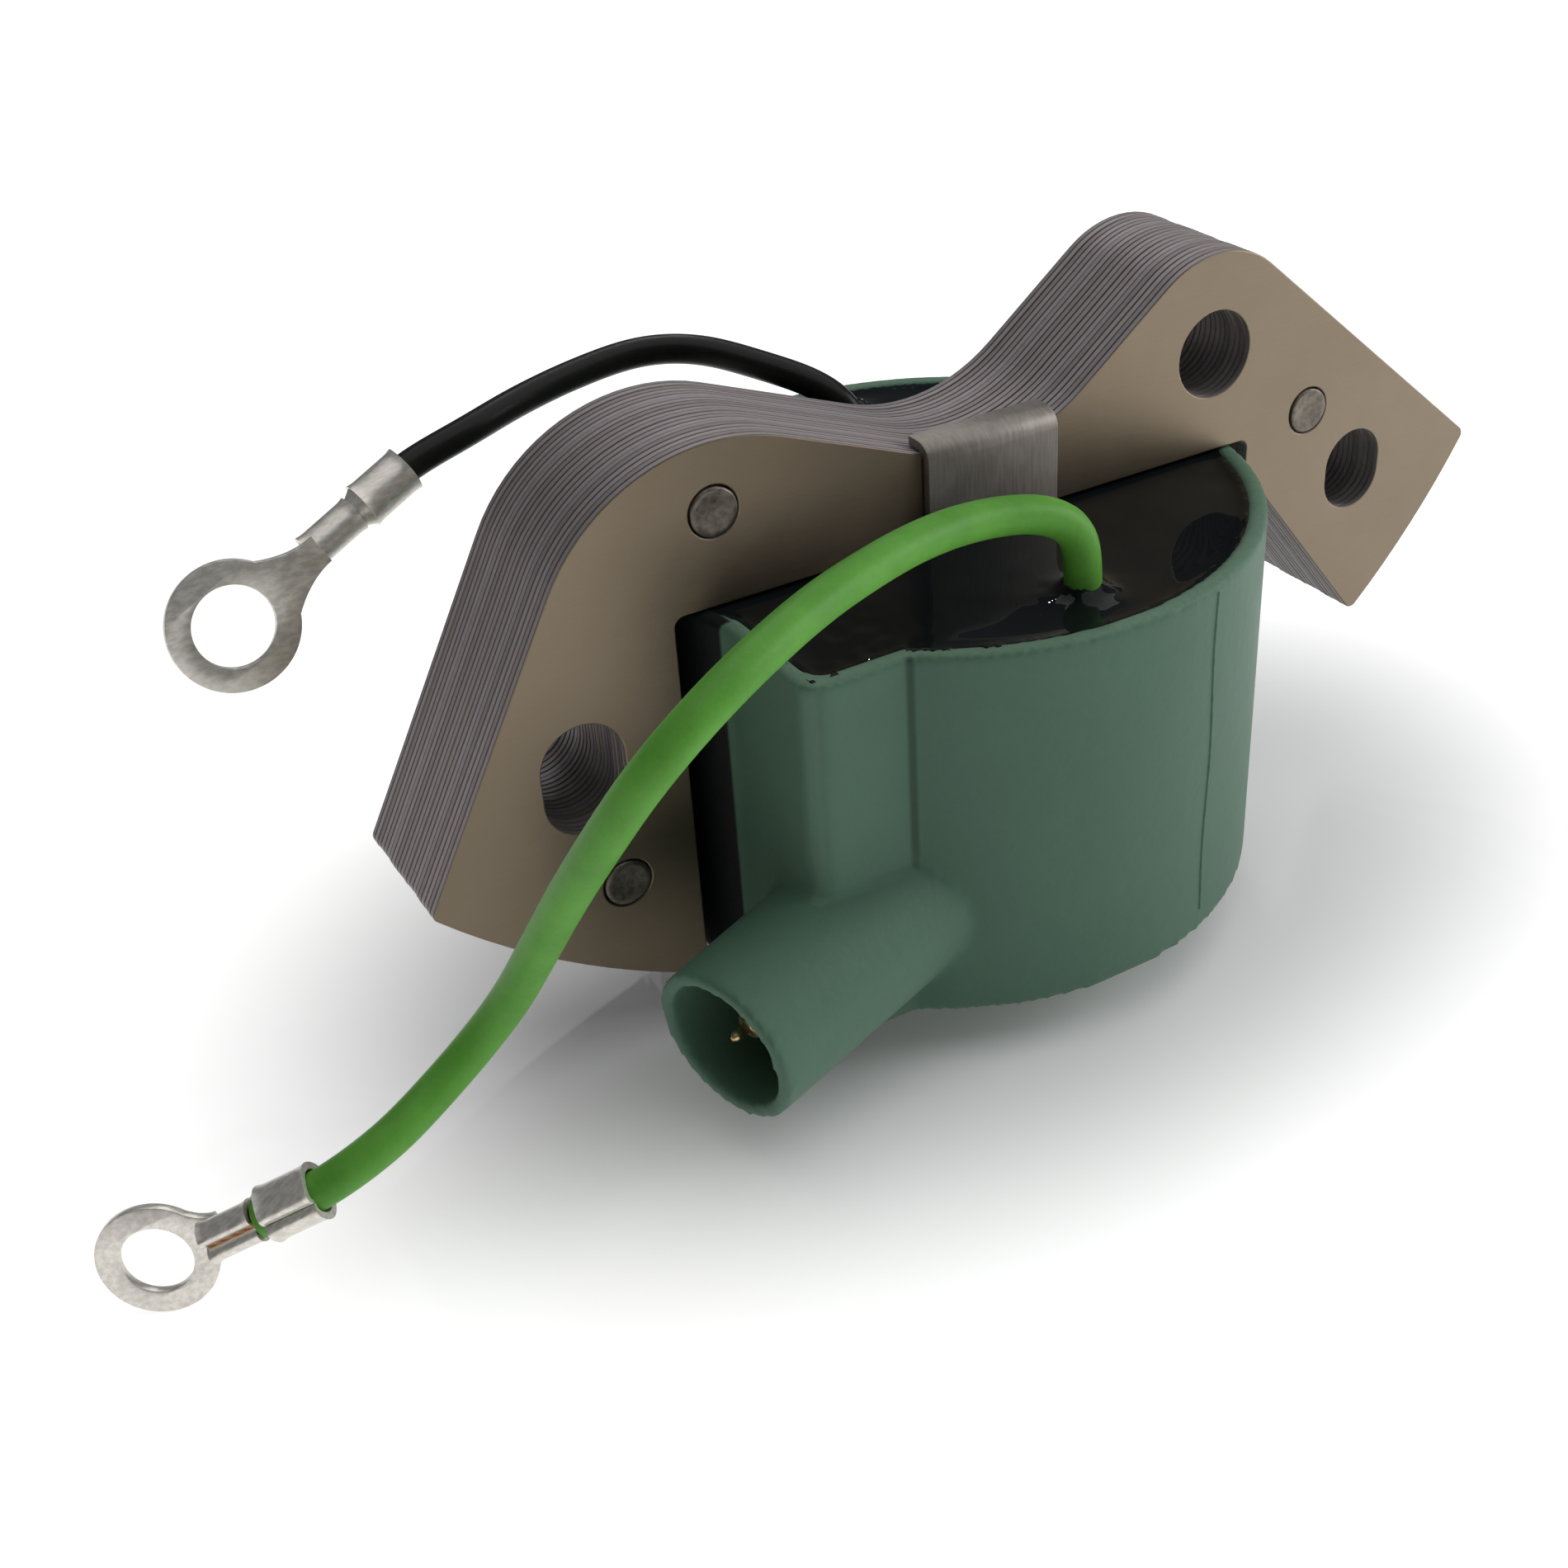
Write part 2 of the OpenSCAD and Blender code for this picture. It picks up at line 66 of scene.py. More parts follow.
PLATES = [f"lamination_{i:02d}" for i in range(1, 22)]
RIVETS = ["upper_left_rivet", "lower_left_rivet", "right_rivet"]
STACK_FRONT = -6.3
PLATE = 0.6
CASE_RADIUS = 25.7
WALL = 1.5
RIM_Z = 36.5
POTTING_Z = 36.1
POCKET = (-24.0, -20.3)
MOUTH = Vector((-33.6, -22.4, 11.7))
TOWER_TURN = 17.5
TOWER_RISE = 6.0

GREEN_ROUTE = [
    (0, -19, 34.5), (0, -19, 37.5), (-0.6, -18.9, 41.3), (-3.9, -18.6, 43.3),
    (-9.2, -18.9, 44.4), (-15, -20.6, 45.2), (-21, -23.3, 45.8), (-26.6, -26.4, 46.3),
    (-31.5, -29.1, 46.2), (-35.6, -30.8, 45.3), (-38.8, -31.2, 43.4), (-41.1, -30.4, 40.6),
    (-42.8, -28.3, 36.5), (-44.1, -24.8, 31), (-45.3, -20.9, 24.7), (-47, -18.1, 19.2),
    (-49.7, -17, 15.6), (-53.2, -17.4, 13.4), (-57, -18.4, 12),
]
BLACK_ROUTE = [
    (4, 19.5, 34.5), (4, 19.5, 36), (2.2, 21.2, 38.3), (-1.5, 25, 40),
    (-6, 29, 41.4), (-10.5, 31, 41.6), (-16, 31.3, 41), (-22, 30.5, 40.2),
    (-28, 28.8, 39.3),
]
AXIS_LIFT = 1.3
SMALL_AT, SMALL_TURN = (-72.4, -11.9, 4.3), (78, -23, -23)
LARGE_AT, LARGE_TURN = (-50.6, 25, 30), (-105, -25.3, 7)
# hole, ring radius, then where the conductor barrel and the insulation barrel start and end
SMALL_CRIMP = (5.0, 4.2, 4.4, 8.2, 9.2, 13.0)
LARGE_CRIMP = (6.7, 5.4, 8.4, 13.4, 14.3, 19.0)
RING_SHEET = 0.8
BARREL_RADIUS = 1.45
GRIP_SHEET = 0.55
# x and z of each hole through the core, and how far its round ends stand from its middle
CORE_HOLES = ((22.4, 45.0, 0.0), (38.6, 30.8, 0.6), (-34.9, 26.2, 1.2))
# x and y of the line where the pocket meets the cup, and of the pocket's outer ridge
CREASE, RIDGE = (-15.8, -20.4), (-23.7, -20.0)
PARTING_ANGLE = -71.5
GREEN_EXIT, BLACK_EXIT = (0.0, -19.0, 1.4), (4.0, 19.5, 1.3)
CLIP_SHEET, CLIP_BEND, CLIP_TOP = 0.8, 1.5, 44.7
CLIP_FRONT, CLIP_BACK, CLIP_FOOT = -7.25, -4.45, 30.5
CLIP_SIDES = (-5.4, 6.4)
CAMERA_AT = (-79.477, -122.234, 104.696)
CAMERA_RIGHT = (0.85322, -0.51978, -0.04289)
CAMERA_DOWN = (-0.30934, -0.43814, -0.844)


def at(x, y, z):
    """A design point in millimetres as a row point in metres."""
    return (Vector((x, y, z)) - SHIFT) * MM


def local_frame(origin, turn):
    """Matrix of a local frame, in design millimetres, turned about X, then Y, then Z."""
    spin = [Matrix.Rotation(math.radians(a), 4, ax) for a, ax in zip(turn, "XYZ")]
    return Matrix.Translation(Vector(origin)) @ spin[2] @ spin[1] @ spin[0]


TOWER = local_frame(MOUTH, (0, -TOWER_RISE, TOWER_TURN))


# ---------- shader maths ----------

class Field:
    """A float socket whose arithmetic makes Math nodes."""

    def __init__(self, shade, socket):
        self.shade = shade
        self.socket = socket

    def op(self, operation, *others, swap=False, clamp=False):
        node = self.shade.node("ShaderNodeMath", {"operation": operation, "use_clamp": clamp})
        values = [self, *others]
        if swap:
            values.reverse()
        for socket, value in zip(node.inputs, values):
            self.shade.feed(socket, value)
        return Field(self.shade, node.outputs[0])

    def __add__(self, o): return self.op("ADD", o)
    def __radd__(self, o): return self.op("ADD", o)
    def __sub__(self, o): return self.op("SUBTRACT", o)
    def __rsub__(self, o): return self.op("SUBTRACT", o, swap=True)
    def __mul__(self, o): return self.op("MULTIPLY", o)
    def __rmul__(self, o): return self.op("MULTIPLY", o)
    def __truediv__(self, o): return self.op("DIVIDE", o)
    def __rtruediv__(self, o): return self.op("DIVIDE", o, swap=True)
    def __pow__(self, o): return self.op("POWER", o)
    def __neg__(self): return self.op("MULTIPLY", -1.0)
    def __abs__(self): return self.op("ABSOLUTE")
    def floor(self): return self.op("FLOOR")
    def fract(self): return self.op("FRACT")
    def root(self): return self.op("SQRT")
    def clip(self): return self.op("ADD", 0.0, clamp=True)

    def smooth(self, low, high):
        """0 below low, 1 above high, eased between."""
        node = self.shade.node("ShaderNodeMapRange", {"interpolation_type": "SMOOTHSTEP"})
        self.shade.feed(node.inputs[0], self)
        node.inputs[1].default_value = low
        node.inputs[2].default_value = high
        return Field(self.shade, node.outputs[0])


class Shade:
    """A principled material under construction."""

    def __init__(self, name, color, rough, metal=0.0, **constants):
        self.material = bpy.data.materials.new(name + "_finish")
        self.material.use_nodes = True
        self.tree = self.material.node_tree
        self.tree.nodes.clear()
        out = self.node("ShaderNodeOutputMaterial")
        self.surface = self.node("ShaderNodeBsdfPrincipled")
        self.tree.links.new(self.surface.outputs[0], out.inputs[0])
        self.set("Base Color", (*color, 1.0))
        self.set("Roughness", rough)
        self.set("Metallic", metal)
        for key, value in constants.items():
            self.set(key.replace("_", " "), value)

    def set(self, socket, value):
        self.surface.inputs[socket].default_value = value

    def node(self, kind, settings=None, inputs=None):
        """Any other node: its type, its settings, and its input values or links by name or place."""
        node = self.tree.nodes.new(kind)
        for key, value in (settings or {}).items():
            setattr(node, key, value)
        for key, value in (inputs or {}).items():
            self.feed(node.inputs[key], value)
        return node

    def feed(self, socket, value):
        if isinstance(value, Field):
            self.tree.links.new(value.socket, socket)
        elif isinstance(value, bpy.types.NodeSocket):
            self.tree.links.new(value, socket)
        else:
            socket.default_value = value

    def place(self):
        """Position in the row frame, as a vector socket in millimetres and as three fields."""
        where = self.node("ShaderNodeTexCoord").outputs["Object"]
        scaled = self.node("ShaderNodeVectorMath", {"operation": "SCALE"})
        self.feed(scaled.inputs[0], where)
        scaled.inputs["Scale"].default_value = 1000.0
        parts = self.node("ShaderNodeSeparateXYZ", inputs={0: scaled.outputs[0]})
        return scaled.outputs[0], [Field(self, o) for o in parts.outputs]

    def facing(self):
        """The true normal's three parts."""
        normal = self.node("ShaderNodeNewGeometry").outputs["True Normal"]
        parts = self.node("ShaderNodeSeparateXYZ", inputs={0: normal})
        return [Field(self, o) for o in parts.outputs]

    def stretch(self, vector, scale):
        node = self.node("ShaderNodeVectorMath", {"operation": "MULTIPLY"})
        self.feed(node.inputs[0], vector)
        node.inputs[1].default_value = scale
        return node.outputs[0]

    def noise(self, vector, scale, detail=3.0, rough=0.55):
        """Noise of that many lumps to a millimetre, about 0 to 1."""
        node = self.node("ShaderNodeTexNoise", {"normalize": True}, {
            "Vector": vector, "Scale": scale, "Detail": detail, "Roughness": rough})
        return Field(self, node.outputs["Fac"] if "Fac" in node.outputs else node.outputs[0])

    def random_of(self, value):
        node = self.node("ShaderNodeTexWhiteNoise", {"noise_dimensions": "1D"}, {"W": value})
        return Field(self, node.outputs["Value"])

    def blend(self, factor, a, b):
        node = self.node("ShaderNodeMix", {"data_type": "RGBA", "clamp_factor": True})
        self.feed(node.inputs[0], factor)
        for place, value in ((6, a), (7, b)):
            self.feed(node.inputs[place], (*value, 1.0) if isinstance(value, tuple) else value)
        return node.outputs[2]

    def paint(self, factor, a, b):
        self.feed(self.surface.inputs["Base Color"], self.blend(factor, a, b))

    def rough(self, value):
        self.feed(self.surface.inputs["Roughness"], value)

    def bump(self, height, depth_mm, strength=1.0):
        node = self.node("ShaderNodeBump", {}, {
            "Strength": strength, "Distance": depth_mm * MM, "Height": height})
        self.feed(self.surface.inputs["Normal"], node.outputs[0])


def core_steel():
    """Stamped steel: warm rolled faces, cooler sheared edges with a line at each plate, and painted shade
    on the walls of the holes.
    """
    s = Shade("core_steel", (0.33, 0.29, 0.25), 0.4, 1.0)
    where, (x, y, z) = s.place()
    flat = abs(s.facing()[1]).smooth(0.5, 0.9)
    grain = s.noise(s.stretch(where, (0.35, 1.0, 5.0)), 1.0, 4.0)
    blotch = s.noise(s.stretch(where, (1.0, 1.0, 1.0)), 0.11, 3.0)
    plate = (y - (STACK_FRONT - SHIFT.y)) / PLATE
    tone = s.random_of(plate.floor())
    seam = 1.0 - abs(plate.fract() - 0.5).smooth(0.26, 0.48) * 0.85
    mottle = (grain * 0.45 + blotch * 0.75 - 0.1).clip()
    face = s.blend(mottle, (0.19, 0.15, 0.105), (0.29, 0.235, 0.17))
    shear = s.noise(s.stretch(where, (3.0, 0.6, 3.0)), 1.0, 2.0)
    edge_fill = s.blend((tone * 0.6 + shear * 0.5).clip(), (0.27, 0.245, 0.25), (0.42, 0.385, 0.4))
    edge = s.blend(seam, (0.012, 0.011, 0.012), edge_fill)
    # painted shade: the walls of the holes through the core are darkened a little, where they lie in shade
    hole = None
    for cx, cz, half in CORE_HOLES:
        dx = x - (cx - SHIFT.x)
        dz = (abs(z - cz) - half).op("MAXIMUM", 0.0)
        near_hole_shade = 1.0 - (dx * dx + dz * dz).root().smooth(3.3, 3.75)
        hole = near_hole_shade if hole is None else hole + near_hole_shade
    hole_lit = 1.0 - hole.clip() * (1.0 - flat) * 0.12
    shade = s.blend(flat, edge, face)
    s.feed(s.surface.inputs["Base Color"], s.blend(hole_lit, (0.01, 0.01, 0.011), shade))
    s.rough(0.36 + grain * 0.12 + blotch * 0.1 + (1.0 - flat) * 0.2)
    s.bump(grain * 0.6 + shear * 0.4, 0.012)
    return s.material


def rivet_steel():
    s = Shade("rivet_steel", (0.3, 0.27, 0.24), 0.42, 0.9)
    where, _ = s.place()
    mark = s.noise(where, 1.6, 4.0)
    s.paint(mark.smooth(0.3, 0.7), (0.11, 0.097, 0.08), (0.2, 0.175, 0.145))
    s.rough(0.36 + mark * 0.2)
    s.bump(mark, 0.05)
    return s.material


def case_plastic():
    """Moulded green plastic, a little chalky, lighter along its rim."""
    s = Shade("case_plastic", (0.1, 0.2, 0.14), 0.5, Specular_IOR_Level=0.15)
    where, (x, y, z) = s.place()
    cloud = s.noise(where, 0.12, 4.0)
    speck = s.noise(where, 2.2, 3.0)
    # lighter and rougher along the top of the rim
    rim_top = (z + speck * 0.5 - 36.35).smooth(0.0, 0.5)
    mottle = (cloud * 0.8 + speck * 0.3 - 0.05).clip()
    body = s.blend(mottle, (0.066, 0.128, 0.089), (0.09, 0.17, 0.119))
    body = s.blend(rim_top * 0.6, body, (0.15, 0.25, 0.17))
    crease_shade, ridge = [
        1.0 - ((x - cx + SHIFT.x) ** 2.0 + (y - cy + SHIFT.y) ** 2.0).root().smooth(low, high)
        for (cx, cy), low, high in ((CREASE, 0.1, 0.5), (RIDGE, 0.3, 0.9))]
    # painted shade: a dark line in the crease where the pocket meets the cup, from mid height up
    body = s.blend(crease_shade * z.smooth(16.0, 22.0) * 0.55, body, (0.008, 0.016, 0.011))
    # partly painted highlight, partly wear: a lighter, speckled edge along the pocket's outer ridge
    body = s.blend(ridge * (0.35 + speck * 0.3), body, (0.12, 0.2, 0.14))
    # painted shade: a near-black band on the case between the core's window and the case's left side,
    # where that gap lies in shade
    back = y + SHIFT.y
    window_gap_shade = (back + 8.7).smooth(0.0, 0.35) * (1.0 - (back - 5.0).smooth(0.0, 1.0))
    window_gap_shade *= 1.0 - (x + SHIFT.x + 23.0).smooth(-0.5, 0.0)
    s.feed(s.surface.inputs["Base Color"], s.blend(window_gap_shade, body, (0.007, 0.009, 0.009)))
    s.rough(0.4 + cloud * 0.16 + rim_top * 0.1)
    s.bump(speck * 0.35 + s.noise(where, 0.5, 2.0), 0.06)
    return s.material


def potting_resin():
    s = Shade("potting_resin", (0.006, 0.008, 0.008), 0.04, Specular_IOR_Level=0.12)
    where, _ = s.place()
    wave = s.noise(where, 0.12, 2.0)
    dust = s.noise(where, 3.0, 2.0)
    s.paint(wave, (0.004, 0.006, 0.007), (0.010, 0.012, 0.012))
    s.rough(0.03 + dust.smooth(0.72, 0.8) * 0.25)
    s.bump(wave, 0.03)
    return s.material


def clip_steel():
    s = Shade("clip_steel", (0.4, 0.375, 0.345), 0.34, 0.92)
    where, _ = s.place()
    grain = s.noise(s.stretch(where, (4.0, 1.0, 0.4)), 1.0, 3.0)
    blotch = s.noise(where, 0.3, 3.0)
    s.paint((grain * 0.5 + blotch * 0.5).smooth(0.3, 0.7), (0.19, 0.172, 0.15), (0.28, 0.26, 0.235))
    s.rough(0.44 + grain * 0.14)
    s.bump(grain, 0.012)
    return s.material


def wire_skin(name, dark, light, gloss):
    s = Shade(name, light, gloss, Specular_IOR_Level=0.18)
    where, _ = s.place()
    cloud = s.noise(where, 0.25, 3.0)
    fine = s.noise(where, 3.0, 3.0)
    s.paint((cloud * 0.8 + fine * 0.25).smooth(0.2, 0.8), dark, light)
    s.rough(gloss + cloud * 0.12)
    s.bump(fine * 0.5 + cloud, 0.03)
    return s.material


def terminal_metal():
    """Tinned copper, bright with a brown tarnish in patches."""
    s = Shade("terminal_metal", (0.62, 0.58, 0.52), 0.28, 0.68)
    where, _ = s.place()
    cloud = s.noise(where, 0.45, 4.0)
    scuff = s.noise(s.stretch(where, (1.0, 3.5, 2.0)), 1.2, 4.0)
    base = s.blend(scuff.smooth(0.3, 0.7), (0.6, 0.565, 0.51), (0.8, 0.765, 0.71))
    s.feed(s.surface.inputs["Base Color"],
           s.blend(cloud.smooth(0.62, 0.78) * 0.6, base, (0.3, 0.22, 0.14)))
    s.rough(0.26 + scuff * 0.2)
    s.bump(scuff * 0.5 + cloud, 0.01)
    return s.material


def spike_brass():
    s = Shade("spike_brass", (0.6, 0.42, 0.2), 0.3, 1.0)
    where, _ = s.place()
    cloud = s.noise(where, 1.4, 3.0)
    s.paint(cloud.smooth(0.3, 0.7), (0.42, 0.28, 0.12), (0.72, 0.54, 0.3))
    s.rough(0.22 + cloud * 0.2)
    s.bump(cloud, 0.03)
    return s.material


def wound(name, dark, light, pitch, metal):
    """Turns of wire or wraps of strip: fine rings up the part's height."""
    s = Shade(name, light, 0.35, metal)
    where, (_, _, z) = s.place()
    cloud = s.noise(where, 0.8, 3.0)
    turn = abs((z / pitch).fract() - 0.5) * 2.0
    s.paint((turn * 0.6 + cloud * 0.5).clip(), light, dark)
    s.rough(0.3 + cloud * 0.2)
    s.bump(1.0 - turn, 0.05)
    return s.material


# slot: dark colour, light colour, roughness
SKINS = {
    "green_insulation": ((0.075, 0.25, 0.028), (0.11, 0.33, 0.045), 0.42),
    "black_insulation": ((0.006, 0.006, 0.006), (0.012, 0.0115, 0.011), 0.26),
    "bobbin_plastic": ((0.55, 0.5, 0.38), (0.72, 0.68, 0.56), 0.45),
    "splice_metal": ((0.4, 0.38, 0.34), (0.6, 0.58, 0.53), 0.3),
}
# slot: dark colour, light colour, pitch of the turns in millimetres, metallic
WINDINGS = {
    "copper_wire": ((0.3, 0.12, 0.04), (0.68, 0.33, 0.15), 0.35, 1.0),
    "paper": ((0.42, 0.31, 0.16), (0.66, 0.52, 0.32), 2.0, 0.0),
    "tape": ((0.55, 0.42, 0.08), (0.78, 0.64, 0.18), 4.0, 0.0),
}
MAKERS = {
    "core_steel": core_steel, "rivet_steel": rivet_steel, "case_plastic": case_plastic,
    "potting_resin": potting_resin, "clip_steel": clip_steel, "spike_brass": spike_brass,
    "terminal_metal": terminal_metal,
}
FINISHES = {}


def finish_of(slot):
    """The slot's material, made once."""
    if slot not in FINISHES:
        if slot in SKINS:
            FINISHES[slot] = wire_skin(slot, *SKINS[slot])
        elif slot in WINDINGS:
            FINISHES[slot] = wound(slot, *WINDINGS[slot])
        else:
            FINISHES[slot] = MAKERS[slot]()
    return FINISHES[slot]


# ---------- mesh helpers ----------

def add_piece(name, verts, faces, slot, replaced=(), smooth=True):
    """A mesh piece from row points in metres, riding on the root body."""
    mesh = bpy.data.meshes.new(name)
    mesh.from_pydata([tuple(v) for v in verts], [], faces)
    mesh.validate()
    bm = bmesh.new()
    bm.from_mesh(mesh)
    bmesh.ops.recalc_face_normals(bm, faces=bm.faces)
    bm.to_mesh(mesh)
    bm.free()
    obj = bpy.data.objects.new(name, mesh)
    bpy.context.scene.collection.objects.link(obj)
    return settle(obj, slot, replaced, smooth)


def settle(obj, slot, replaced=(), smooth=True):
    obj.data.materials.clear()
    obj.data.materials.append(finish_of(slot))
    if obj.type == "MESH" and smooth:
        obj.data.polygons.foreach_set("use_smooth", [True] * len(obj.data.polygons))
    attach(obj, "root")
    if replaced:
        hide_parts(*replaced)
    return obj


def sharpen(obj, angle=35):
    """Smooth shading that stops at edges sharper than the angle."""
    bm = bmesh.new()
    bm.from_mesh(obj.data)
    limit = math.radians(angle)
    for e in bm.edges:
        if len(e.link_faces) == 2:
            e.smooth = e.calc_face_angle(0) < limit
    bm.to_mesh(obj.data)
    bm.free()
    return obj


def bake(obj):
    """Applies every modifier on a mesh object."""
    graph = bpy.context.evaluated_depsgraph_get()
    mesh = bpy.data.meshes.new_from_object(obj.evaluated_get(graph))
    obj.modifiers.clear()
    old = obj.data
    obj.data = mesh
    bpy.data.meshes.remove(old)
    return obj


def normals_2d(loop):
    """Unit normals of a closed loop, to the right of its direction of travel."""
    out = []
    n = len(loop)
    for i in range(n):
        a, b, c = loop[i - 1], loop[i], loop[(i + 1) % n]
        u = Vector((b[0] - a[0], b[1] - a[1])).normalized()
        v = Vector((c[0] - b[0], c[1] - b[1])).normalized()
        m = u + v
        m = Vector((m[1], -m[0])).normalized()
        out.append(m / max(0.5, m.dot(Vector((u[1], -u[0])))))
    return out


def area_2d(loop):
    return sum(a[0] * b[1] - b[0] * a[1] for a, b in zip(loop, loop[1:] + loop[:1])) / 2


def sheet_mesh(loops, low, high, edge, inset=0.0):
    """A flat sheet with rounded rims. loops[0] is the outline and the rest are holes.
    Returns points (a, b, t), where t runs from low to high, and faces."""
    loops = [lp if (area_2d(lp) > 0) == (i == 0) else lp[::-1] for i, lp in enumerate(loops)]
    rims = [(edge, low), (edge * 0.3, low + edge * 0.3), (0.0, low + edge),
            (0.0, high - edge), (edge * 0.3, high - edge * 0.3), (edge, high)]
    verts, faces, starts = [], [], []
    for loop in loops:
        normal = normals_2d(loop)
        starts.append(len(verts))
        n = len(loop)
        for back, t in rims:
            for p, m in zip(loop, normal):
                k = back + inset
                verts.append((p[0] - m[0] * k, p[1] - m[1] * k, t))
        base = starts[-1]
        for r in range(len(rims) - 1):
            for i in range(n):
                j = (i + 1) % n
                a = base + r * n
                faces.append((a + i, a + j, a + n + j, a + n + i))
    flat = [[Vector((verts[s + i][0], verts[s + i][1], 0)) for i in range(len(lp))]
            for s, lp in zip(starts, loops)]
    index = [(s, i, len(lp)) for s, lp in zip(starts, loops) for i in range(len(lp))]
    for tri in tessellate_polygon(flat):
        low_tri = [index[k][0] + index[k][1] for k in tri]
        top_tri = [index[k][0] + index[k][1] + (len(rims) - 1) * index[k][2] for k in tri]
        faces.append(tuple(low_tri))
        faces.append(tuple(reversed(top_tri)))
    return verts, faces


def cap_loops(obj):
    """The outline and holes of a prism along Y, in row millimetres (x, z), longest first."""
    bm = bmesh.new()
    bm.from_mesh(obj.data)
    bmesh.ops.remove_doubles(bm, verts=bm.verts, dist=2e-6)
    bm.normal_update()
    low = min(v.co.y for v in bm.verts)
    joins = {}
    for e in bm.edges:
        if all(abs(v.co.y - low) < 1e-6 for v in e.verts):
            caps = sum(abs(f.normal.y) > 0.9 for f in e.link_faces)
            if caps == 1:
                a, b = e.verts
                joins.setdefault(a.index, []).append(b.index)
                joins.setdefault(b.index, []).append(a.index)
    bm.verts.ensure_lookup_table()
    loops, seen = [], set()
    for start in joins:
        if start in seen:
            continue
        loop, here, last = [], start, None
        while here not in seen:
            seen.add(here)
            loop.append(here)
            onward = [k for k in joins[here] if k != last and k not in seen]
            if not onward:
                break
            last, here = here, onward[0]
        loops.append([(bm.verts[i].co.x / MM, bm.verts[i].co.z / MM) for i in loop])
    bm.free()
    return sorted(loops, key=lambda lp: -abs(area_2d(lp)))


def spline_points(route, step=0.5):
    """A smooth line through route points, in design millimetres, evenly spaced."""
    pts = [Vector(p) for p in route]
    pts = [pts[0] * 2 - pts[1], *pts, pts[-1] * 2 - pts[-2]]
    dense = []
    for a, b, c, d in zip(pts, pts[1:], pts[2:], pts[3:]):
        ta, tb = (b - a).length ** 0.5, (c - b).length ** 0.5
        tc = (d - c).length ** 0.5
        m1 = ((b - a) / ta - (c - a) / (ta + tb) + (c - b) / tb) * tb
        m2 = ((c - b) / tb - (d - b) / (tb + tc) + (d - c) / tc) * tb
        for i in range(24):
            t = i / 24
            dense.append((2 * t**3 - 3 * t**2 + 1) * b + (t**3 - 2 * t**2 + t) * m1
                         + (3 * t**2 - 2 * t**3) * c + (t**3 - t**2) * m2)
    dense.append(pts[-2])
    out, gone = [dense[0]], 0.0
    for a, b in zip(dense, dense[1:]):
        gone += (b - a).length
        if gone >= step:
            out.append(b)
            gone = 0.0
    out.append(dense[-1])
    return out


def relax(points, passes=10):
    """Evens out a line's bends, with its ends held."""
    pts = list(points)
    for _ in range(passes):
        pts = [p if i < 3 or i > len(pts) - 4 else (pts[i - 1] + p * 2 + pts[i + 1]) / 4
               for i, p in enumerate(pts)]
    return pts


def line_length(points):
    return sum((b - a).length for a, b in zip(points, points[1:]))


# ---------- settings ----------

class CoilLeadSettings(bpy.types.PropertyGroup):
    green_diameter: FloatProperty(
        name="Green lead", description="Outside diameter of the green lead",
        default=0.0028, min=0.0024, max=0.0032, unit="LENGTH", subtype="DISTANCE")
    black_diameter: FloatProperty(
        name="Black lead", description="Outside diameter of the black lead",
        default=0.0026, min=0.0022, max=0.003, unit="LENGTH", subtype="DISTANCE")


class CoilCoreSettings(bpy.types.PropertyGroup):
    plate_edge: FloatProperty(
        name="Plate edge", description="Rounding of each plate's sheared edge",
        default=0.00011, min=0.00002, max=0.0002, unit="LENGTH", subtype="DISTANCE")
    plate_scatter: FloatProperty(
        name="Plate scatter", description="How far a plate's edge may sit back from the stack's",
        default=0.00008, min=0.0, max=0.0002, unit="LENGTH", subtype="DISTANCE")
    seed: IntProperty(
        name="Seed", description="Seed of the plates' scatter", default=4, min=0, max=1000)


class CoilCaseSettings(bpy.types.PropertyGroup):
    voxel: FloatProperty(
        name="Skin detail", description="Size of the facets of the moulded case",
        default=0.00036, min=0.0002, max=0.001, unit="LENGTH", subtype="DISTANCE")
    rounding: IntProperty(
        name="Rounding", description="How much the case's edges are rounded",
        default=4, min=0, max=30)


class CoilStageSettings(bpy.types.PropertyGroup):
    lens: FloatProperty(
        name="Lens", description="Focal length of the camera on a 36 mm sensor, in millimetres",
        default=46.25, min=20.0, max=120.0)
    key_power: FloatProperty(
        name="Key light", description="Power of the broad overhead softbox",
        default=11.5, min=0.0, max=400.0, unit="POWER")
    fill_power: FloatProperty(
        name="Fill light", description="Power of the softbox at the right",
        default=5.0, min=0.0, max=200.0, unit="POWER")


# ---------- stage ----------

def build_camera(lens):
    data = bpy.data.cameras.new("camera")
    cam = bpy.data.objects.new("camera", data)
    bpy.context.scene.collection.objects.link(cam)
    right, down = Vector(CAMERA_RIGHT), Vector(CAMERA_DOWN)
    ahead = right.cross(down).normalized()
    turn = Matrix((right, -down, -ahead)).transposed().to_4x4()
    cam.matrix_world = Matrix.Translation(at(*CAMERA_AT)) @ turn
    data.sensor_width = 36.0
    data.lens = lens
    data.shift_x = -0.0398
    data.shift_y = -0.0172
    data.clip_start, data.clip_end = 0.005, 20.0
    data.dof.use_dof = False
    bpy.context.scene.camera = cam
    bpy.context.scene.view_settings.view_transform = "Standard"


def softbox(name, where, aim, size, power, color=(1, 1, 1)):
    data = bpy.data.lights.new(name, "AREA")
    data.shape = "RECTANGLE"
    data.size, data.size_y = size
    data.energy = power
    data.color = color
    lamp = bpy.data.objects.new(name, data)
    bpy.context.scene.collection.objects.link(lamp)
    lamp.location = where
    lamp.rotation_mode = "QUATERNION"
    lamp.rotation_quaternion = (Vector(aim) - Vector(where)).to_track_quat("-Z", "Y")
    return lamp


def build_world(strength):
    world = bpy.data.worlds.new("studio")
    bpy.context.scene.world = world
    world.use_nodes = True
    back = world.node_tree.nodes["Background"]
    back.inputs["Color"].default_value = (0.93, 0.97, 1.0, 1.0)
    back.inputs["Strength"].default_value = strength


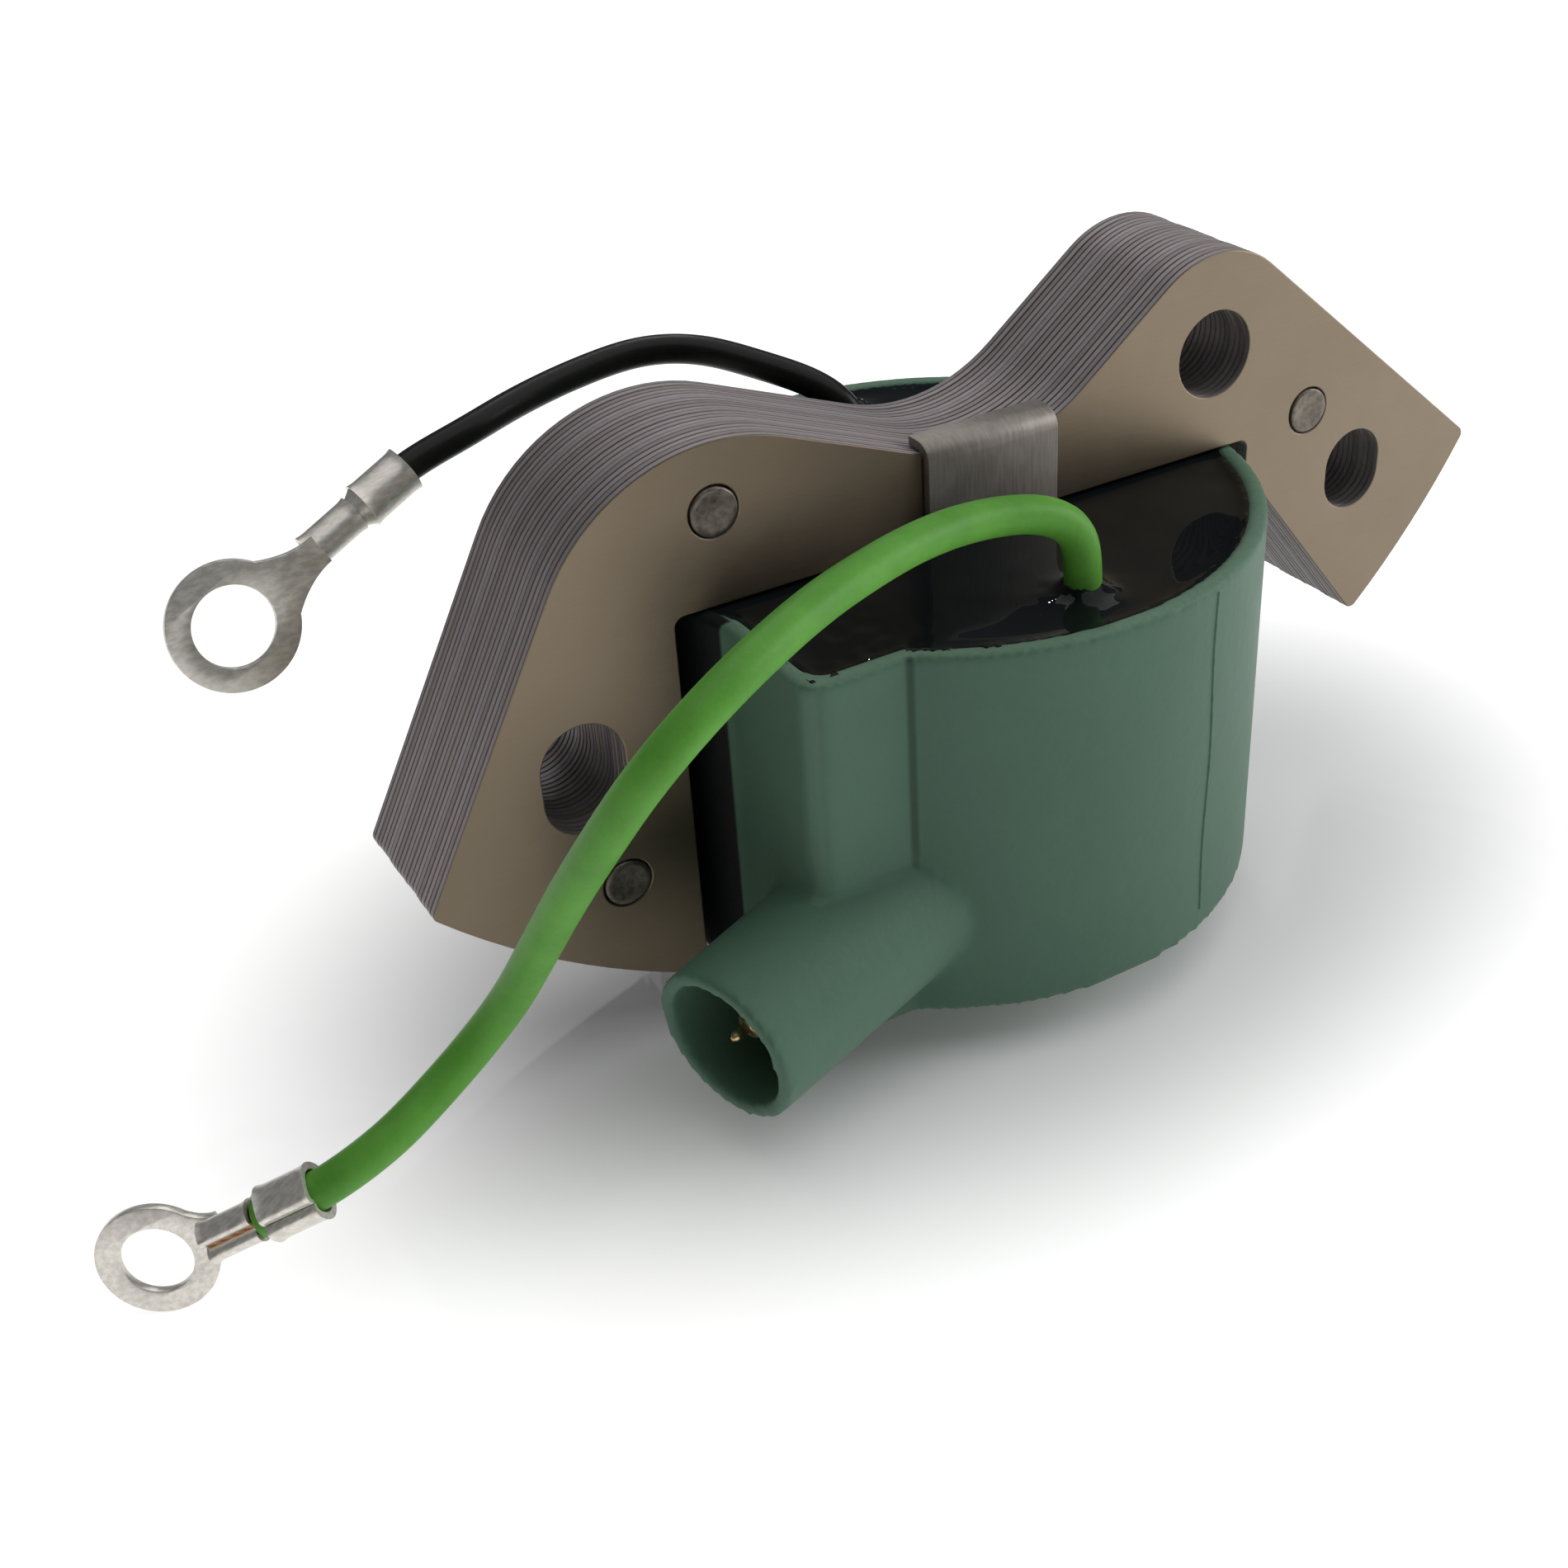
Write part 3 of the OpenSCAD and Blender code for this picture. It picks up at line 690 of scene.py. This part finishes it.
def build_floor():
    """A wide pale sheet under the object, with a faint sheen. It glows with painted light that is dim near
    the object, leaving painted shade there, and brighter further out.
    """
    side, cells = 3.0, 8
    verts, faces = [], []
    for i in range(cells + 1):
        for j in range(cells + 1):
            x, y = (i / cells - 0.5) * side, (j / cells - 0.5) * side
            verts.append((x, y, -0.00002))
    for i in range(cells):
        for j in range(cells):
            a = i * (cells + 1) + j
            faces.append((a, a + cells + 1, a + cells + 2, a + 1))
    mesh = bpy.data.meshes.new("floor")
    mesh.from_pydata(verts, [], faces)
    floor = bpy.data.objects.new("floor", mesh)
    bpy.context.scene.collection.objects.link(floor)
    s = Shade("floor", (0.9, 0.9, 0.9), 0.3, Specular_IOR_Level=0.35,
              Emission_Strength=1.0)
    where, (x, y, _) = s.place()
    # painted light: the floor's glow grows away from the object, so that near it the floor keeps a painted
    # shade
    glow_reach = (x * x * 0.45 + y * y).root().smooth(24.0, 54.0)
    s.feed(s.surface.inputs["Emission Color"], s.blend(glow_reach, (0.05, 0.05, 0.05), (0.62, 0.615, 0.61)))
    haze = s.noise(where, 0.02, 3.0)
    s.paint(haze, (0.91, 0.91, 0.915), (0.95, 0.95, 0.95))
    s.rough(0.22 + haze * 0.12)
    mesh.materials.append(s.material)


def build_stage(settings):
    build_camera(settings.lens)
    build_world(0.1)
    build_floor()
    softbox("key", (0.3, 0.1, 1.2), (0.1, 0.15, 0), (2.0, 1.8), settings.key_power)
    softbox("right_fill", (0.9, -0.35, 0.35), (0, 0, 0.02), (0.5, 0.5), settings.fill_power)
    for i, (x, y) in enumerate(((0.16, 0.34), (0.20, 0.36), (0.11, 0.31))):
        softbox(f"lamp_{i + 1}", (x, y, 0.36), (0, 0, 0.03), (0.006, 0.006), 0.05)


# ---------- leads ----------

def build_lead(name, route, grip, diameter, node, slot, start_z):
    """One insulated lead, from the potting to its terminal's grip."""
    turn = local_frame(*grip[:2])
    ends = [turn @ Vector((x, 0, AXIS_LIFT)) for x in grip[2:]]
    line = relax(spline_points([*route, *ends]))
    data = bpy.data.curves.new(name, "CURVE")
    data.dimensions = "3D"
    data.bevel_depth = diameter / 2
    data.bevel_resolution = 8
    data.use_fill_caps = True
    spline = data.splines.new("POLY")
    spline.points.add(len(line) - 1)
    for knot, p in zip(spline.points, line):
        knot.co = (*at(*p), 1.0)
    spline.use_smooth = True
    obj = bpy.data.objects.new(name, data)
    bpy.context.scene.collection.objects.link(obj)
    settle(obj, slot, [node])
    first = next(i for i, p in enumerate(line) if p.z >= start_z)
    line_length(line[first:]) * MM
    return obj


def arc(r, a0, a1, n):
    """Points of an arc about the origin, from angle a0 to a1 in degrees."""
    return [(r * math.cos(math.radians(a0 + (a1 - a0) * i / n)),
             r * math.sin(math.radians(a0 + (a1 - a0) * i / n))) for i in range(n + 1)]


def crimp_barrel(x0, x1, radius, sheet, flare, cleft, width, count=64, steps=14):
    """A rolled barrel along X. Its two sides curl in to a cleft on top, and its ends flare a little.
    Points in the terminal's frame, and faces."""
    verts, faces = [], []
    gap = 0.03
    for shell in (0, 1):
        for i in range(steps + 1):
            t = i / steps
            x = x0 + (x1 - x0) * t
            end = min(t, 1 - t) * 2
            swell = flare * (1 - min(1.0, end * 3.2)) ** 2
            ragged = 1 + 0.05 * noise.noise(Vector((x * 1.3, radius, 5.0)))
            for k in range(count + 1):
                # a = 0 points up, where the sides meet, and the points crowd towards it
                u = 2 * k / count - 1
                a = math.pi + (math.pi - gap) * u * (1.25 - 0.25 * u * u)
                side = min(a, 2 * math.pi - a)
                dip = cleft * ragged * math.exp(-(side / width) ** 2)
                r = (radius + swell - (sheet if shell else 0.0)) * (1 - dip)
                lobe = 1 + 0.05 * math.cos(2 * a)
                verts.append((x, r * math.sin(a) / lobe, AXIS_LIFT + r * math.cos(a) * lobe - 0.05))
    row = count + 1
    shell = row * (steps + 1)
    for i in range(steps):
        for k in range(count):
            a = i * row + k
            faces.append((a, a + 1, a + row + 1, a + row))
            b = shell + a
            faces.append((b, b + row, b + row + 1, b + 1))
    for k in range(count):
        for i in (0, steps):
            a = i * row + k
            quad = (a, a + 1, shell + a + 1, shell + a)
            faces.append(quad if i else quad[::-1])
    for i in range(steps):
        for k in (0, count):
            a = i * row + k
            quad = (a, a + row, shell + a + row, shell + a)
            faces.append(quad if k else quad[::-1])
    return verts, faces


def build_terminal(name, node, origin, turn, crimp, wire_r):
    """Stamped ring, tongue, conductor barrel and insulation barrel of one crimped terminal."""
    frame_at = local_frame(origin, turn)
    hole, rim, b0, b1, g0, g1 = crimp
    barrel, grip, sheet = BARREL_RADIUS, wire_r + GRIP_SHEET, RING_SHEET
    neck = barrel * 0.86
    start = math.degrees(math.asin(0.52))
    outline = arc(rim, start, 360 - start, 84)
    x_neck = b0 + 0.9
    p0, p1 = outline[-1], (x_neck, -neck)
    blend = []
    for i in range(1, 9):
        t = i / 9
        ease = t * t * (3 - 2 * t)
        blend.append((p0[0] + (p1[0] - p0[0]) * t, p0[1] + (p1[1] - p0[1]) * (1 - (1 - t) ** 2.2)
                      * (0.92 + 0.08 * ease)))
    side = [*blend, p1]
    outline += side + [(x, -y) for x, y in reversed(side)]
    ring = arc(hole / 2, 0, 360, 72)[:-1]
    verts, faces = sheet_mesh([outline, ring], -sheet / 2 + 0.04, sheet / 2 - 0.04, 0.12)
    parts = [(verts, faces)]
    parts.append(crimp_barrel(b0, b1, barrel, 0.42, 0.10, 0.62, 0.36))
    parts.append(crimp_barrel(g0, g1, grip, 0.5, 0.10, 0.24, 0.22))
    # strap under the gap between the barrels
    strap = []
    for x, w, r in ((b1 - 0.6, 1.5, barrel), (b1 + 0.1, 1.5, barrel), (g0 - 0.1, 1.5, grip),
                    (g0 + 0.5, 1.5, grip)):
        for k in range(9):
            a = math.pi + (k / 8 - 0.5) * 2 * w
            for rr in (r, r - 0.45):
                strap.append((x, rr * math.sin(a), AXIS_LIFT + rr * math.cos(a)))
    sfaces = []
    for i in range(3):
        for k in range(8):
            a = i * 18 + k * 2
            sfaces.append((a, a + 2, a + 20, a + 18))
            sfaces.append((a + 1, a + 19, a + 21, a + 3))
        a = i * 18
        sfaces.append((a, a + 18, a + 19, a + 1))
        sfaces.append((a + 16, a + 17, a + 35, a + 34))
    for a, flip in ((0, 1), (54, 0)):
        for k in range(8):
            quad = (a + 2 * k, a + 2 * k + 1, a + 2 * k + 3, a + 2 * k + 2)
            sfaces.append(quad[::-1] if flip else quad)
    parts.append((strap, sfaces))
    allv, allf = [], []
    for v, f in parts:
        base = len(allv)
        allv += [at(*(frame_at @ Vector(p))) for p in v]
        allf += [tuple(base + k for k in face) for face in f]
    piece = add_piece(name, allv, allf, "terminal_metal", [node])
    return sharpen(piece, 40)


def build_leads(settings):
    small = build_terminal("small_ring_crimp", "small_ring_terminal", SMALL_AT, SMALL_TURN,
                           SMALL_CRIMP, settings.green_diameter / MM / 2)
    large = build_terminal("large_ring_crimp", "large_ring_terminal", LARGE_AT, LARGE_TURN,
                           LARGE_CRIMP, settings.black_diameter / MM / 2)
    build_lead("green_lead", GREEN_ROUTE, (SMALL_AT, SMALL_TURN, 13.2, 8.5),
               settings.green_diameter, "green_lead_insulation", "green_insulation", POTTING_Z)
    build_lead("black_lead", BLACK_ROUTE, (LARGE_AT, LARGE_TURN, 19.2, 14.6),
               settings.black_diameter, "black_lead_insulation", "black_insulation", POTTING_Z)


# ---------- core ----------

def build_core(settings):
    """One piece a plate, each with rounded sheared edges and its own small set-back."""
    draw = random.Random(settings.seed)
    loops = cap_loops(NODES[PLATES[0]])
    edge = settings.plate_edge / MM
    for i, node in enumerate(PLATES):
        y0 = STACK_FRONT - SHIFT.y + i * PLATE
        inset = draw.uniform(0.0, settings.plate_scatter / MM)
        points, faces = sheet_mesh(loops, y0 + 0.004, y0 + PLATE - 0.004, edge, inset)
        verts = [(a * MM, t * MM, b * MM) for a, b, t in points]
        plate = sharpen(add_piece(f"plate_{i + 1:02d}", verts, faces, "core_steel", [node]), 15)
        for face in plate.data.polygons:
            face.use_smooth = abs(face.normal.y) < 0.95


def build_rivets():
    for name in RIVETS:
        low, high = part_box(name)
        middle = (low + high) / 2 / MM
        y0, y1 = low.y / MM, high.y / MM
        half = [(0.0, -0.06), (0.5, -0.04), (1.0, 0.02), (1.45, 0.10), (1.72, 0.12),
                (1.84, 0.06), (1.9, -0.08)]
        profile = [(y0 - h, r) for r, h in half] + [(y1 + h, r) for r, h in reversed(half)]
        verts, faces, count = [], [], 40
        for y, r in profile:
            for k in range(count):
                a = 2 * math.pi * k / count
                wob = 1 + 0.012 * math.sin(3 * a + y) if r > 1.5 else 1
                verts.append((Vector((middle.x + max(r, 0.01) * wob * math.cos(a), y,
                                      middle.z + max(r, 0.01) * wob * math.sin(a)))) * MM)
        for i in range(len(profile) - 1):
            for k in range(count):
                m = (k + 1) % count
                faces.append((i * count + k, i * count + m, (i + 1) * count + m, (i + 1) * count + k))
        faces.append(tuple(range(count)))
        faces.append(tuple((len(profile) - 1) * count + k for k in reversed(range(count))))
        add_piece(name + "_head", verts, faces, "rivet_steel", [name])


# ---------- case ----------

def build_case(settings):
    """The moulded case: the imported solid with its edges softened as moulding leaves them."""
    source = NODES["coil_case"]
    mesh = source.data.copy()
    bm = bmesh.new()
    bm.from_mesh(mesh)
    bmesh.ops.remove_doubles(bm, verts=bm.verts, dist=2e-6)
    bm.to_mesh(mesh)
    bm.free()
    case = bpy.data.objects.new("case_moulding", mesh)
    bpy.context.scene.collection.objects.link(case)
    skin = case.modifiers.new("skin", "REMESH")
    skin.mode = "VOXEL"
    skin.voxel_size = settings.voxel
    soft = case.modifiers.new("soft", "SMOOTH")
    soft.factor = 0.5
    soft.iterations = settings.rounding
    bake(case)
    settle(case, "case_plastic", ["coil_case"])
    build_parting_line()


def build_parting_line():
    """Thin raised flash down the case's right side, where the mould's halves met."""
    angle = math.radians(PARTING_ANGLE)
    verts, faces, rows = [], [], 60
    for i in range(rows + 1):
        z = 7.4 + (RIM_Z - 8.0) * i / rows
        lump = noise.noise(Vector((0.0, 3.1, z * 0.9)))
        width = 0.16 + 0.08 * lump
        proud = 0.10 + 0.10 * max(0.0, noise.noise(Vector((2.0, 0.0, z * 1.7))))
        a = angle + 0.006 * math.sin(z * 0.35)
        for da, r in ((-width / CASE_RADIUS, CASE_RADIUS - 0.1), (0.0, CASE_RADIUS + proud),
                      (width / CASE_RADIUS, CASE_RADIUS - 0.1)):
            verts.append(at(r * math.cos(a + da), r * math.sin(a + da), z))
    for i in range(rows):
        a = i * 3
        faces += [(a, a + 1, a + 4, a + 3), (a + 1, a + 2, a + 5, a + 4), (a, a + 3, a + 5, a + 2)]
    faces += [(0, 2, 1), (rows * 3, rows * 3 + 1, rows * 3 + 2)]
    add_piece("mould_flash", verts, faces, "case_plastic", smooth=False)


# ---------- potting ----------

def inside_case(x, y):
    """Signed distance to the case's inner wall, positive inside, in millimetres."""
    cup = CASE_RADIUS - WALL - math.hypot(x, y)
    px, py = POCKET[0] + WALL, POCKET[1] + WALL
    pocket = min(x - px, y - py)
    if pocket > 0 and x < px + 12 and y < py + 18:
        return max(cup, min(pocket, 6.0))
    return cup if cup > 0 else max(cup, min(0.0, pocket) if x < 0 and y < 0 else cup)


def build_potting():
    """Resin skin with a meniscus at the walls, the core and the leads, and flash on the pocket's rim."""
    step, reach = 0.36, 25.2
    n = int(2 * reach / step)
    index, verts = {}, []
    for i in range(n + 1):
        for j in range(n + 1):
            x, y = -reach + step * i, -reach + step * j
            d = inside_case(x, y)
            if d < -0.75:
                continue
            wall = math.exp(-max(0.0, d) / 0.5) * 0.26
            core = math.exp(-max(0.0, abs(y) - 6.3) / 0.5) * 0.22
            wet = 0.0
            for cx, cy, r in (GREEN_EXIT, BLACK_EXIT):
                gap = math.hypot(x - cx, y - cy) - r
                lump = 1 + 0.5 * noise.noise(Vector((x * 0.8, y * 0.8, 1.0)))
                wet = max(wet, 0.9 * math.exp(-max(0.0, gap) / 0.7) * lump)
            ripple = 0.04 * noise.noise(Vector((x * 0.25, y * 0.25, 4.0)))
            pocket = max(0.0, 1 - math.hypot(x + 17, y + 17) / 7.0)
            ripple += 0.14 * pocket * noise.noise(Vector((x * 0.7, y * 0.7, 9.0)))
            z = POTTING_Z + 0.03 + max(wall, core, wet) + ripple
            if d < 0:
                spill = noise.noise(Vector((x * 0.55, y * 0.55, 2.0))) + 0.12
                along = x < -9.5 and y < -12 and not (x < -21 and y < -21)
                z = RIM_Z + 0.12 * spill if along and spill > 0 else RIM_Z - 0.25
            index[i, j] = len(verts)
            verts.append(at(x, y, z))
    top = len(verts)
    verts += [Vector((v.x, v.y, (POTTING_Z - 0.6) * MM)) for v in verts]
    faces, rim = [], {}
    for (i, j), a in index.items():
        corner = [(i, j), (i + 1, j), (i + 1, j + 1), (i, j + 1)]
        if all(c in index for c in corner):
            quad = [index[c] for c in corner]
            faces.append(tuple(quad))
            faces.append(tuple(k + top for k in reversed(quad)))
            for a1, b1 in zip(quad, quad[1:] + quad[:1]):
                rim[a1, b1] = rim.get((a1, b1), 0) + 1
    for (a1, b1) in list(rim):
        if (b1, a1) not in rim:
            faces.append((b1, a1, a1 + top, b1 + top))
    add_piece("potting_skin", verts, faces, "potting_resin")
    NODES["potting_compound"].data.materials.clear()
    NODES["potting_compound"].data.materials.append(finish_of("potting_resin"))


# ---------- clip and spike ----------

def build_clip():
    """The bent strip: front plate, rounded bend and top flange, with softened sheet edges."""
    sheet, y0, top, bend = CLIP_SHEET, CLIP_FRONT, CLIP_TOP, CLIP_BEND
    outer = [(y0, CLIP_FOOT), (y0, top - bend)]
    outer += [(y0 + bend - bend * math.cos(math.radians(a)), top - bend + bend * math.sin(math.radians(a)))
              for a in range(10, 90, 10)]
    outer += [(y0 + bend, top), (CLIP_BACK, top)]
    inner_r = bend - sheet
    inner = [(CLIP_BACK, top - sheet), (y0 + bend, top - sheet)]
    inner += [(y0 + bend - inner_r * math.cos(math.radians(a)),
               top - bend + inner_r * math.sin(math.radians(a))) for a in range(80, 0, -10)]
    inner += [(y0 + sheet, top - bend), (y0 + sheet, CLIP_FOOT)]
    points, faces = sheet_mesh([outer + inner], *CLIP_SIDES, 0.12)
    verts = [at(t, a, b) for a, b, t in points]
    sharpen(add_piece("clip_strip", verts, faces, "clip_steel", ["retaining_clip"]), 40)


def build_spike():
    """Threaded brass point, its thread a true helix, standing in the tower's socket."""
    core, crest, tip, end, pitch = 0.8, 1.15, 1.0, 21.0, 1.08
    count, rows = 36, 170
    verts, faces = [], []
    for i in range(rows + 1):
        x = tip + (end - tip) * i / rows
        for k in range(count):
            a = 2 * math.pi * k / count
            wave = abs(((x / pitch - k / count) % 1.0) - 0.5) * 2
            r = core + (crest - core) * wave if x < 15.9 else core
            if x < tip + 1.6:
                r = 0.42 * min(1.0, 0.3 + (x - tip) * 1.8)
            verts.append(at(*(TOWER @ Vector((x, r * math.cos(a), r * math.sin(a))))))
    for i in range(rows):
        for k in range(count):
            m = (k + 1) % count
            faces.append((i * count + k, i * count + m, (i + 1) * count + m, (i + 1) * count + k))
    faces.append(tuple(range(count)))
    faces.append(tuple(rows * count + k for k in reversed(range(count))))
    add_piece("spike_thread", verts, faces, "spike_brass", ["high_tension_spike"])


def dress_inner():
    """Materials of the CAD solids that stay as they are."""
    for entry in frame["record"]["subparts"]:
        node = NODES[entry["node"]]
        if not node.hide_render:
            node.data.materials.clear()
            node.data.materials.append(finish_of(entry["material_slot"]))


# ---------- operators ----------

class CoilBuild:
    """What every build operator shares."""
    bl_options = {"REGISTER", "UNDO"}

    def execute(self, context):
        self.build(context.scene)
        return {"FINISHED"}


class COIL_OT_stage(CoilBuild, bpy.types.Operator):
    """Make the camera, the lights and the floor"""
    bl_idname = "coil.stage"
    bl_label = "Stage"

    def build(self, scene):
        build_stage(scene.coil_stage)


class COIL_OT_leads(CoilBuild, bpy.types.Operator):
    """Make both leads and their ring terminals"""
    bl_idname = "coil.leads"
    bl_label = "Leads"

    def build(self, scene):
        build_leads(scene.coil_leads)


class COIL_OT_core(CoilBuild, bpy.types.Operator):
    """Make the core's plates"""
    bl_idname = "coil.core"
    bl_label = "Core"

    def build(self, scene):
        build_core(scene.coil_core)


class COIL_OT_rivets(CoilBuild, bpy.types.Operator):
    """Make the rivets' heads"""
    bl_idname = "coil.rivets"
    bl_label = "Rivets"

    def build(self, scene):
        build_rivets()


class COIL_OT_case(CoilBuild, bpy.types.Operator):
    """Make the moulded case"""
    bl_idname = "coil.case"
    bl_label = "Case"

    def build(self, scene):
        build_case(scene.coil_case)


class COIL_OT_potting(CoilBuild, bpy.types.Operator):
    """Make the potting's surface"""
    bl_idname = "coil.potting"
    bl_label = "Potting"

    def build(self, scene):
        build_potting()


class COIL_OT_clip(CoilBuild, bpy.types.Operator):
    """Make the retaining clip"""
    bl_idname = "coil.clip"
    bl_label = "Clip"

    def build(self, scene):
        build_clip()


class COIL_OT_spike(CoilBuild, bpy.types.Operator):
    """Make the threaded contact in the tower"""
    bl_idname = "coil.spike"
    bl_label = "Spike"

    def build(self, scene):
        build_spike()


class COIL_OT_inner(CoilBuild, bpy.types.Operator):
    """Give the remaining solids their materials"""
    bl_idname = "coil.inner"
    bl_label = "Inner parts"

    def build(self, scene):
        dress_inner()


OPERATORS = (COIL_OT_stage, COIL_OT_leads, COIL_OT_core, COIL_OT_rivets, COIL_OT_case,
             COIL_OT_potting, COIL_OT_clip, COIL_OT_spike, COIL_OT_inner)


class COIL_PT_panel(bpy.types.Panel):
    """The builder's settings and steps"""
    bl_idname = "COIL_PT_panel"
    bl_label = "Ignition Coil"
    bl_space_type = "VIEW_3D"
    bl_region_type = "UI"
    bl_category = "Ignition Coil"

    def draw(self, context):
        for group in GROUPS:
            box = self.layout.box()
            settings = getattr(context.scene, group)
            for prop in settings.bl_rna.properties:
                if prop.identifier not in ("rna_type", "name"):
                    box.prop(settings, prop.identifier)
        for operator in OPERATORS:
            self.layout.operator(operator.bl_idname)


GROUPS = {"coil_stage": CoilStageSettings, "coil_leads": CoilLeadSettings,
          "coil_core": CoilCoreSettings, "coil_case": CoilCaseSettings}


def register():
    for cls in (*GROUPS.values(), *OPERATORS, COIL_PT_panel):
        bpy.utils.register_class(cls)
    for name, cls in GROUPS.items():
        setattr(bpy.types.Scene, name, PointerProperty(type=cls))


def unregister():
    for name in GROUPS:
        delattr(bpy.types.Scene, name)
    for cls in (COIL_PT_panel, *reversed(OPERATORS), *GROUPS.values()):
        bpy.utils.unregister_class(cls)


def main():
    register()
    for operator in OPERATORS:
        space, step = operator.bl_idname.split(".")
        if getattr(getattr(bpy.ops, space), step)() != {"FINISHED"}:
            raise RuntimeError(f"{operator.bl_label} wasn't built")


if __name__ == "__main__":
    main()
